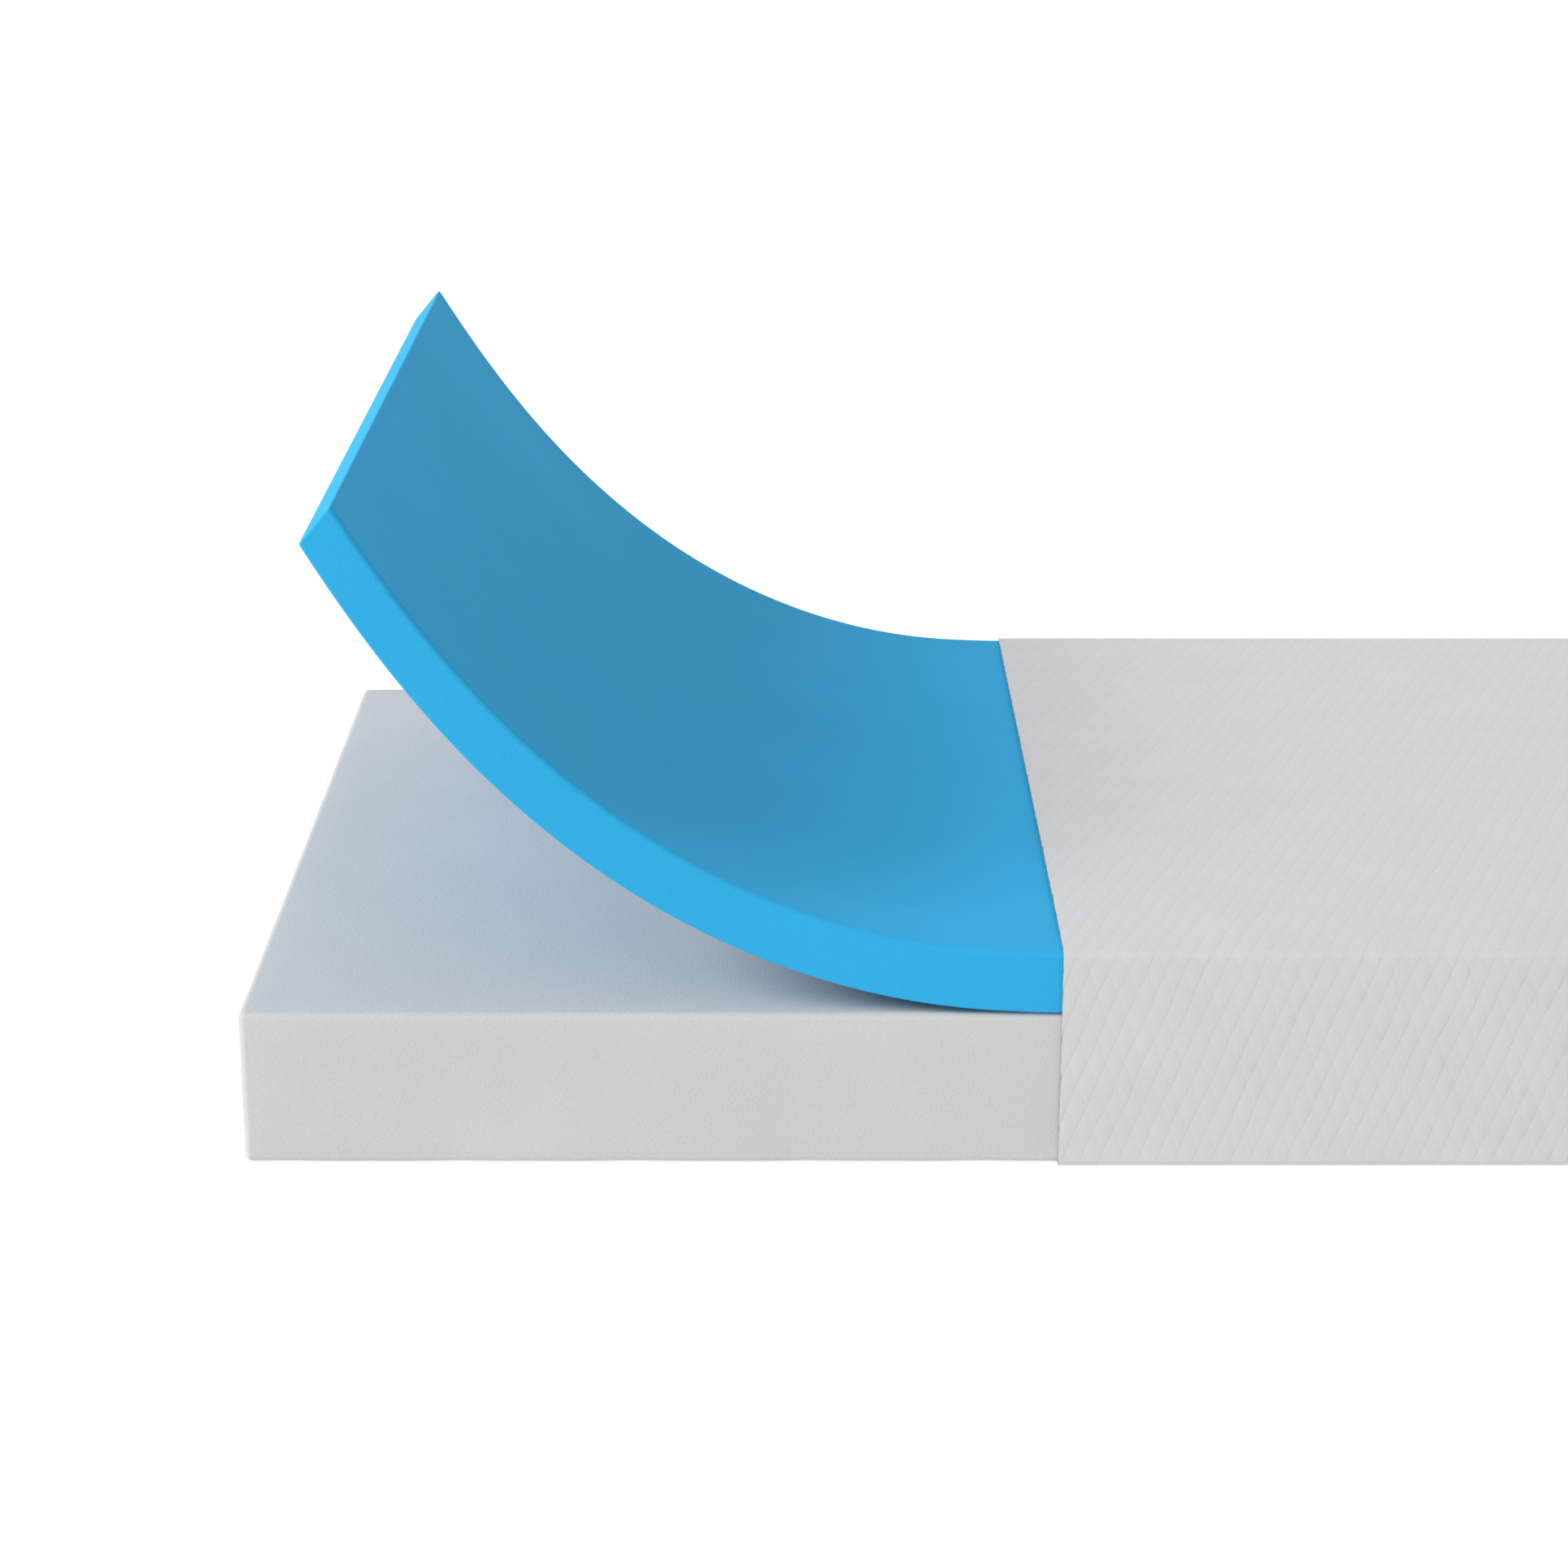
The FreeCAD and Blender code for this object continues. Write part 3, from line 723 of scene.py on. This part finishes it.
def sleeve_cloth(x0, x1, t0, t1, rows):
    """The sleeve's outer cloth laid flat: its places (x, t), how far each is raised, and faces."""
    cloth, lines, faces = knit_lattice(x0, x1, t0, t1)
    from_edge = np.abs(cloth[:, 1:] - FOLDS - ARC / 2).min(axis=1)
    relief = EDGE_RELIEF + (1 - EDGE_RELIEF) * np.clip(2 * from_edge / ARC - 1, 0, 1)
    return divided_cloth(cloth, knit_height(*lines.T) * relief, faces, rows)


def rim(border, run, line, line_run, flip):
    """Faces from a border of the outer cloth, points at the distances run, to a line of the lining."""
    border = border[np.argsort(run[border])]
    faces = zipped(border, run[border], line, line_run)
    return [face[::-1] for face in faces] if flip else faces


def sleeve_lining(cloth, faces, ends, rows):
    """Faces of the sleeve's plain inner side and of the rims round it.

    Its points are numbered on from the cloth's: one for each row at the first end, then the second.
    """
    x, t = cloth.T
    used = np.unique(np.concatenate(faces))
    near = len(cloth) + np.arange(len(rows))
    far = near + len(rows)
    lining = [[near[i], near[i + 1], far[i + 1], far[i]] for i in range(len(rows) - 1)]
    for end, line, flip in ((ends[0], near, False), (ends[1], far, True)):
        lining += rim(used[x[used] == end], t, line, rows, flip)
    for row, flip in ((0, True), (-1, False)):
        lining += rim(used[t[used] == rows[row]], x, [near[row], far[row]], ends, flip)
    return lining


def make_sleeve():
    """The knit over the top and both sides, with a plain inner face and closed edges."""
    x0, x1 = round(CUT_X, 6), round(SLEEVE_HI.x, 6)
    t0, t1 = SLEEVE_SIDE_GAP, round(OUTLINE_LENGTH - SLEEVE_SIDE_GAP, 6)
    rows = (FOLDS[:, None] + ARC * np.linspace(0.0, 1.0, 6)).ravel()
    rows = rows[(rows > t0) & (rows < t1)]
    cloth, lift, faces = sleeve_cloth(x0, x1, t0, t1, rows)
    place, normal = wrap(cloth[:, 1])
    points = np.column_stack([cloth[:, 0], place + normal * lift[:, None]])

    rows = np.concatenate([[t0], rows, [t1]])
    faces = faces + sleeve_lining(cloth, faces, (x0, x1), rows)
    place, normal = wrap(rows)
    for x in (x0, x1):
        end = np.full(len(rows), x)
        points = np.concatenate([points, np.column_stack([end, place - normal * COVER_T])])
        cloth = np.concatenate([cloth, np.column_stack([end, rows])])

    used = np.unique(np.concatenate(faces))
    points, cloth = points[used], cloth[used]
    faces = [np.searchsorted(used, face) for face in faces]
    piece = add_mesh("cover_sleeve_knit", points, faces, MATERIALS["cover_knit"], 60)
    add_coordinates(piece, "cloth", cloth)
    add_coordinates(piece, "lines", np.column_stack(knit_lines(*cloth.T)))
    crisp = piece.modifiers.new("crisp_lines", "WEIGHTED_NORMAL")
    crisp.weight = 90
    crisp.keep_sharp = True
    place_piece(piece, "cover", "cover_knit", "cover_sleeve")


def make_foot_panel(node, name, is_upper):
    """A knitted panel that wraps round the foot end's edges, above or below the zip."""
    low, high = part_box(node)
    zip_edge = low.z if is_upper else high.z
    opening = ZIP_Z + ZIP_SLOT / 2 if is_upper else ZIP_Z - ZIP_SLOT / 2
    slot_lo, slot_hi = COIL_LO.y - ZIP_SLOT_END, COIL_HI.y + ZIP_SLOT_END
    box_low = (low.x - FOOT_BEYOND, -SIDE_Y, 0.0)
    box_high = (FOOT_X, SIDE_Y, TOP_Z)
    divisions = [
        grid_lines(box_low[0], box_high[0], COVER_R, TURNED_EDGE * 0.3, extra=[low.x]),
        grid_lines(box_low[1], box_high[1], COVER_R, DIAMOND_W / 6, extra=[slot_lo, slot_hi]),
        grid_lines(box_low[2], box_high[2], COVER_R, DIAMOND_L / 10, extra=[zip_edge, opening]),
    ]

    def keep(centres):
        x, y, z = centres.T
        past_zip = z > zip_edge if is_upper else z < zip_edge
        in_slot = (y > slot_lo) & (y < slot_hi) & (np.abs(z - ZIP_Z) < ZIP_SLOT / 2)
        on_face = x > FOOT_X - COVER_T / 2
        return (x > low.x) & past_zip & ~(in_slot & on_face)

    points, normals, faces = rounded_box(box_low, box_high, COVER_R, divisions, keep)
    back = FOOT_X - points[:, 0]
    along = points[:, 1] + normals[:, 1] * back
    round_ = points[:, 2] + normals[:, 2] * back
    lines = knit_lines(along, round_)
    from_edge = np.minimum(np.abs(points[:, 2] - opening), points[:, 0] - low.x)
    fade = np.clip(from_edge / EDGE_FADE, 0, 1)
    lift = knit_height(*lines) * fade - EDGE_SUNK * (1 - fade)
    skin, faces = thicken(points, normals, faces, COVER_T, lift)
    piece = add_mesh(name, skin, faces, MATERIALS["cover_knit"], 60)
    add_coordinates(piece, "cloth", np.tile(np.stack([along, round_], axis=1), (2, 1)))
    add_coordinates(piece, "lines", np.tile(np.stack(lines, axis=1), (2, 1)))
    place_piece(piece, "cover", "cover_knit", node)


def make_bottom_panel():
    """Tougher woven fabric under the mattress."""
    low, high = (BOTTOM_LO.x, BOTTOM_LO.y, DOT_H), BOTTOM_HI
    radius, cell = 0.0003, 0.025
    lines = [grid_lines(low[axis], high[axis], radius, cell, steps=2) for axis in range(3)]
    points, _, faces = rounded_box(low, high, radius, lines)
    piece = add_mesh("cover_bottom_fabric", points, faces, MATERIALS["underside_fabric"])
    place_piece(piece, "cover", "underside_fabric", "cover_bottom_panel")


def grip_dot():
    """Points and faces of one rubber dot: an octagon that narrows down to the floor."""
    turn = np.arange(DOT_SIDES) * 2 * math.pi / DOT_SIDES
    profile = ((DOT_R, DOT_H + 0.0002), (DOT_R * 0.8, DOT_H * 0.35), (DOT_R * 0.35, 0.0))
    rings = [np.column_stack([radius * np.cos(turn), radius * np.sin(turn), np.full(DOT_SIDES, z)])
             for radius, z in profile]
    last = len(profile) * DOT_SIDES - 1
    faces = [range(DOT_SIDES)]
    for ring in range(0, last - DOT_SIDES, DOT_SIDES):
        for j in range(DOT_SIDES):
            k = (j + 1) % DOT_SIDES
            faces.append((ring + k, ring + j, ring + DOT_SIDES + j, ring + DOT_SIDES + k))
    faces.append(range(last, last - DOT_SIDES, -1))
    return np.concatenate(rings), faces


def make_grip_dots():
    """Rows of dots under the bottom panel, every other row shifted by half their pitch."""
    dot, dot_faces = grip_dot()
    first_x, first_y = BOTTOM_LO.x + 0.012, BOTTOM_LO.y + 0.015
    margin = 0.01
    parts = []
    for row, y in enumerate(np.arange(first_y, BOTTOM_HI.y - margin, DOT_PITCH)):
        shift = (row % 2) * DOT_PITCH / 2
        for x in np.arange(first_x + shift, BOTTOM_HI.x - margin, DOT_PITCH):
            parts.append((dot + (x, y, 0.0), dot_faces))
    dots = add_mesh("grip_dots", *joined(parts), MATERIALS["grip_dot"])
    place_piece(dots, "cover", "underside_fabric")


def make_sock():
    """The fire barrier liner: a thin knitted bag over the foam, open where the cover is.

    It is a box that starts beyond the opening, and keep leaves out what lies there.
    """
    beyond = 0.03
    low = (SOCK_LO.x - beyond, SOCK_LO.y, SOCK_LO.z)
    along = grid_lines(SOCK_LO.x - SOCK_R, SOCK_HI.x, SOCK_R, FOAM_CELL)[EDGE_STEPS:]
    divisions = [
        np.concatenate([[low[0]], along]),
        grid_lines(low[1], SOCK_HI.y, SOCK_R, FOAM_CELL),
        grid_lines(low[2], SOCK_HI.z, SOCK_R, FOAM_CELL),
    ]
    points, normals, faces = rounded_box(low, SOCK_HI, SOCK_R, divisions,
                                         keep=lambda centres: centres[:, 0] > SOCK_LO.x)
    skin, faces = thicken(points, normals, faces, SOCK_T)
    piece = add_mesh("liner_sock", skin, faces, MATERIALS["barrier_knit"], 60)
    turn = np.arctan2(normals[:, 2], np.hypot(normals[:, 0], normals[:, 1]))
    inner = points - normals * SOCK_R
    round_ = np.abs(inner[:, 1]) + SOCK_R * (math.pi / 2 - turn) - inner[:, 2]
    add_coordinates(piece, "cloth", np.tile(np.stack([points[:, 0], round_], axis=1), (2, 1)))
    place_piece(piece, "core", "barrier_knit", "fire_barrier_sock")


# ---- seams ----
def overlock(path, across, normal):
    """A zigzag thread that crosses a seam and dips into the cloth on both sides."""
    pitch, width, radius = 0.0032, SEAM_W * 1.25, 0.00022
    over, under = 0.0002, 0.00015
    path = np.asarray(path, float)
    run = np.concatenate([[0], np.cumsum(np.linalg.norm(np.diff(path, axis=0), axis=1))])
    samples = max(8, int(run[-1] / pitch) * 6)
    s = np.linspace(0, run[-1], samples)

    def at(values):
        values = np.broadcast_to(np.asarray(values, float), path.shape)
        return np.stack([np.interp(s, run, values[:, axis]) for axis in range(3)], axis=1)

    swing = 4 * np.abs((s / pitch) % 1 - 0.5) - 1
    centre, side, up = at(path), unit(at(across)), unit(at(normal))
    lift = (over + under) * np.cos(swing * math.pi / 2) ** 0.5 - under
    return thread(centre + side * (swing * width / 2)[:, None] + up * lift[:, None], up, radius)


def seam(name, path, across, normal, node):
    """Two turned-in edges that meet in a valley, held by an overlock thread."""
    half = SEAM_W / 2 + 0.0003
    valley = [(-half, -0.0002), (-half * 0.55, -0.0003), (0.0, -0.0013), (half * 0.55, -0.0003),
              (half, -0.0002), (half, -0.0017), (-half, -0.0017)]
    edges = sweep(path, across, normal, valley)
    points, faces = joined([edges, overlock(path, across, normal)])
    piece = add_mesh(name, points, faces, MATERIALS["seam_thread"], 70)
    place_piece(piece, "cover", "seam_thread", node)


def make_seams():
    seam_x = (SLEEVE_HI.x + FOOT_LO.x) / 2
    t = np.linspace(0, OUTLINE_LENGTH, 700)
    place, normal = wrap(t)
    seam("seam_foot_thread", np.column_stack([np.full_like(t, seam_x), place]), (1, 0, 0),
         np.column_stack([np.zeros_like(t), normal]), "seam_foot_end")
    down = (0, 0, -1)
    z = np.full(3, SEAM_Z)
    y = np.linspace(BOTTOM_LO.y, BOTTOM_HI.y, 3)
    seam("seam_bottom_foot_thread", np.column_stack([np.full(3, seam_x), y, z]), (1, 0, 0), down,
         "seam_bottom_foot")
    x = np.linspace(CUT_X, seam_x, 3)
    for side, word in ((-1, "front"), (1, "back")):
        y = np.full(3, side * (BOTTOM_HI.y + SEAM_W / 2))
        seam(f"seam_bottom_{word}_thread", np.column_stack([x, y, z]), (0, -side, 0), down,
             f"seam_bottom_{word}")


# ---- zip and label ----
def topstitch(path, normal, pitch=0.003, radius=0.0002):
    """A row of stitches that rise out of the cloth and sink into it again."""
    path = np.asarray(path, float)
    length = np.linalg.norm(path[-1] - path[0])
    share = np.linspace(0, 1, max(8, int(length / pitch) * 8))
    line = path[0] + (path[-1] - path[0]) * share[:, None]
    wave = np.cos(2 * math.pi * length / pitch * share)
    height = 0.0003 * np.clip(wave + 0.65, -0.6, 1) - 0.0001
    return thread(line + np.asarray(normal) * height[:, None], normal, radius)


def make_coil(node, name, side):
    """One zip coil: a nylon filament wound so that its loops reach between the other coil's."""
    low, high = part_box(node)
    filament, pitch, reach = 0.0003, 0.0015, 0.0003
    inner = ZIP_Z - side * reach
    outer = high.z if side > 0 else low.z
    turns = (high.y - low.y) / pitch
    start = math.pi if side > 0 else 0
    angle = start + np.linspace(0, turns * 2 * math.pi, int(turns * 8))
    y = np.linspace(low.y + filament, high.y - filament, len(angle))
    z = (inner + outer) / 2 + (abs(outer - inner) / 2 - filament) * np.cos(angle)
    x = (low.x + high.x) / 2 + ((high.x - low.x) / 2 - filament) * np.sin(angle)
    points, faces = thread(np.column_stack([x, y, z]), (0, 1, 0), filament, sides=4)
    piece = add_mesh(name, points, faces, MATERIALS["zip_coil"], None)
    place_piece(piece, "cover", "zip_coil", node)


def make_tape(node, name, side):
    """Woven tape with a thicker woven edge beside the coil."""
    low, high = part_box(node)
    y = np.linspace(low.y, high.y, 120)
    near = low.z if side > 0 else high.z
    width = (high.z - low.z) * side
    thick = high.x - low.x
    shares = [(0.0, -0.3), (0.04, 0.15), (0.09, 0.45), (0.14, 0.15), (0.2, 0.0), (0.9, 0.0),
              (0.95, -0.1), (1.0, -0.3), (1.0, -0.8), (0.0, -0.8)]
    profile = [(across * width, height * thick) for across, height in shares]
    path = np.column_stack([np.full_like(y, high.x), y, np.full_like(y, near)])
    points, faces = sweep(path, (0, 0, 1), (1, 0, 0), profile)
    if side < 0:
        faces = [face[::-1] for face in faces]
    piece = add_mesh(name, points, faces, MATERIALS["zip_tape"], 40)
    place_piece(piece, "cover", "zip_tape", node)


def make_zip():
    make_coil("zip_coil_upper", "zip_coil_upper_loops", 1)
    make_coil("zip_coil_lower", "zip_coil_lower_loops", -1)
    make_tape("zip_tape_upper", "zip_tape_upper_cloth", 1)
    make_tape("zip_tape_lower", "zip_tape_lower_cloth", -1)
    rows = []
    for z in (ZIP_Z - ZIP_STITCH, ZIP_Z + ZIP_STITCH):
        rows.append(topstitch([(FOOT_X, COIL_LO.y, z), (FOOT_X, COIL_HI.y, z)], (1, 0, 0)))
    piece = add_mesh("zip_topstitch", *joined(rows), MATERIALS["seam_thread"], None)
    place_piece(piece, "cover", "seam_thread")


def patch_stitches(name, low, high, inset):
    """Four rows of stitches round a patch, inset from its edges."""
    y0, y1 = low.y + inset, high.y - inset
    z0, z1 = low.z + inset, high.z - inset
    corners = [(high.x, y0, z0), (high.x, y1, z0), (high.x, y1, z1), (high.x, y0, z1)]
    rows = [topstitch([a, b], (1, 0, 0), pitch=0.0025, radius=0.00015)
            for a, b in zip(corners, corners[1:] + corners[:1])]
    stitches = add_mesh(name, *joined(rows), MATERIALS["seam_thread"], None)
    place_piece(stitches, "cover", "seam_thread")


def make_patch(node, name, slot, radius, cell, wave, inset):
    """A small piece of cloth sewn flat to the foot end, not quite flat between its stitches."""
    low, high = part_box(node)
    divisions = [grid_lines(low[axis], high[axis], radius, cell, steps=3) for axis in range(3)]
    points, _, faces = rounded_box(low, high, radius, divisions)
    across = np.clip(np.abs(points[:, 1] - (low.y + high.y) / 2) / ((high.y - low.y) / 2), 0, 1)
    down = np.clip(np.abs(points[:, 2] - (low.z + high.z) / 2) / ((high.z - low.z) / 2), 0, 1)
    free = (1 - across ** 4) * (1 - down ** 4)
    ripple = np.sin(points[:, 1] * 150) * np.sin(points[:, 2] * 90 + 0.7)
    points[:, 0] += wave * free * (1 + ripple)
    piece = add_mesh(name, points, faces, MATERIALS[slot], 60)
    if slot == "cover_knit":
        add_coordinates(piece, "cloth", points[:, 1:])
        add_coordinates(piece, "lines", np.full((len(points), 2), 0.5))
    place_piece(piece, "cover", slot, node)
    patch_stitches(name + "_stitches", low, high, inset)
    return piece


def make_small_cloth():
    label = make_patch("care_label", "care_label_satin", "label_satin",
                       radius=0.00015, cell=0.003, wave=0.0004, inset=0.003)
    garage = make_patch("zip_garage", "zip_garage_cloth", "cover_knit",
                        radius=0.0007, cell=0.0012, wave=0.0002, inset=0.002)


def finish_cad_nodes():
    """Materials for the CAD nodes whose shapes stay."""
    slots = {"zip_slider": "zip_metal", "zip_pull": "zip_metal", "zip_closed_end_stop": "zip_metal",
             "zip_open_end_stop": "zip_metal", "adhesive_bond": "adhesive"}
    for node, slot in slots.items():
        mesh = frame["nodes"][node].data
        mesh.materials.clear()
        mesh.materials.append(MATERIALS[slot])


# ---- stage ----
def make_stage():
    """A pale floor that glows a little, so that it stays as white as the surroundings."""
    s = Shader("floor", roughness=0.9, specular=0.1)
    tone = s.colours(s.noise(0.8), (0.3, (0.29, 0.29, 0.29)), (0.7, (0.31, 0.31, 0.31)))
    s.surface.inputs["Emission Color"].default_value = (1.0, 1.0, 1.0, 1.0)
    s.surface.inputs["Emission Strength"].default_value = 0.8
    half = 60.0
    corners = [(-half, -half, 0.0), (half, -half, 0.0), (half, half, 0.0), (-half, half, 0.0)]
    add_mesh("floor", corners, [(0, 1, 2, 3)], s.finish(tone), None)


def area_light(name, place, target, size, power):
    light = bpy.data.lights.new(name, "AREA")
    light.shape = "DISK"
    light.size = size
    light.energy = power
    lamp = bpy.data.objects.new(name, light)
    lamp.location = place
    direction = lamp.location - Vector(target)
    lamp.rotation_mode = "QUATERNION"
    lamp.rotation_quaternion = direction.to_track_quat("Z", "Y")
    bpy.context.scene.collection.objects.link(lamp)


def make_lights():
    """White surroundings, which light the mattress less than they show, and two soft lamps."""
    world = bpy.data.worlds.new("studio")
    bpy.context.scene.world = world
    world.use_nodes = True
    nodes, links = world.node_tree.nodes, world.node_tree.links
    seen = nodes.new("ShaderNodeLightPath").outputs["Is Camera Ray"]
    strength = nodes.new("ShaderNodeMapRange")
    strength.inputs["To Min"].default_value = AMBIENT
    links.new(seen, strength.inputs["Value"])
    links.new(strength.outputs["Result"], nodes["Background"].inputs["Strength"])
    nodes["Background"].inputs["Color"].default_value = (1.0, 1.0, 1.0, 1.0)
    area_light("key", place=(-8.8, -3.9, 6.3), target=(-0.4, 0.0, 0.2), size=5.0, power=1075.0)
    area_light("back_fill", place=(3.6, 9.8, 3.9), target=(0.4, 0.0, 0.1), size=4.0, power=130.0)
    bpy.context.scene.view_settings.view_transform = "Standard"


def make_camera():
    """The photo's view: in front of the head end, from above."""
    data = bpy.data.cameras.new("camera")
    data.lens = 80.0
    data.sensor_width = 36.0
    data.clip_end = 100.0
    camera = bpy.data.objects.new("camera", data)
    camera.location = (HEAD_X + 0.471, -3.256, TOP_Z + 1.083)
    camera.rotation_euler = (math.radians(90) - CAMERA_PITCH, 0.0, 0.0)
    bpy.context.scene.collection.objects.link(camera)
    bpy.context.scene.camera = camera


make_stage()
make_lights()
make_camera()
make_support_core()
make_comfort_layer()
make_sock()
make_sleeve()
make_bottom_panel()
make_grip_dots()
make_foot_panel("foot_panel_upper", "cover_foot_upper_knit", True)
make_foot_panel("foot_panel_lower", "cover_foot_lower_knit", False)
make_seams()
make_zip()
make_small_cloth()
finish_cad_nodes()
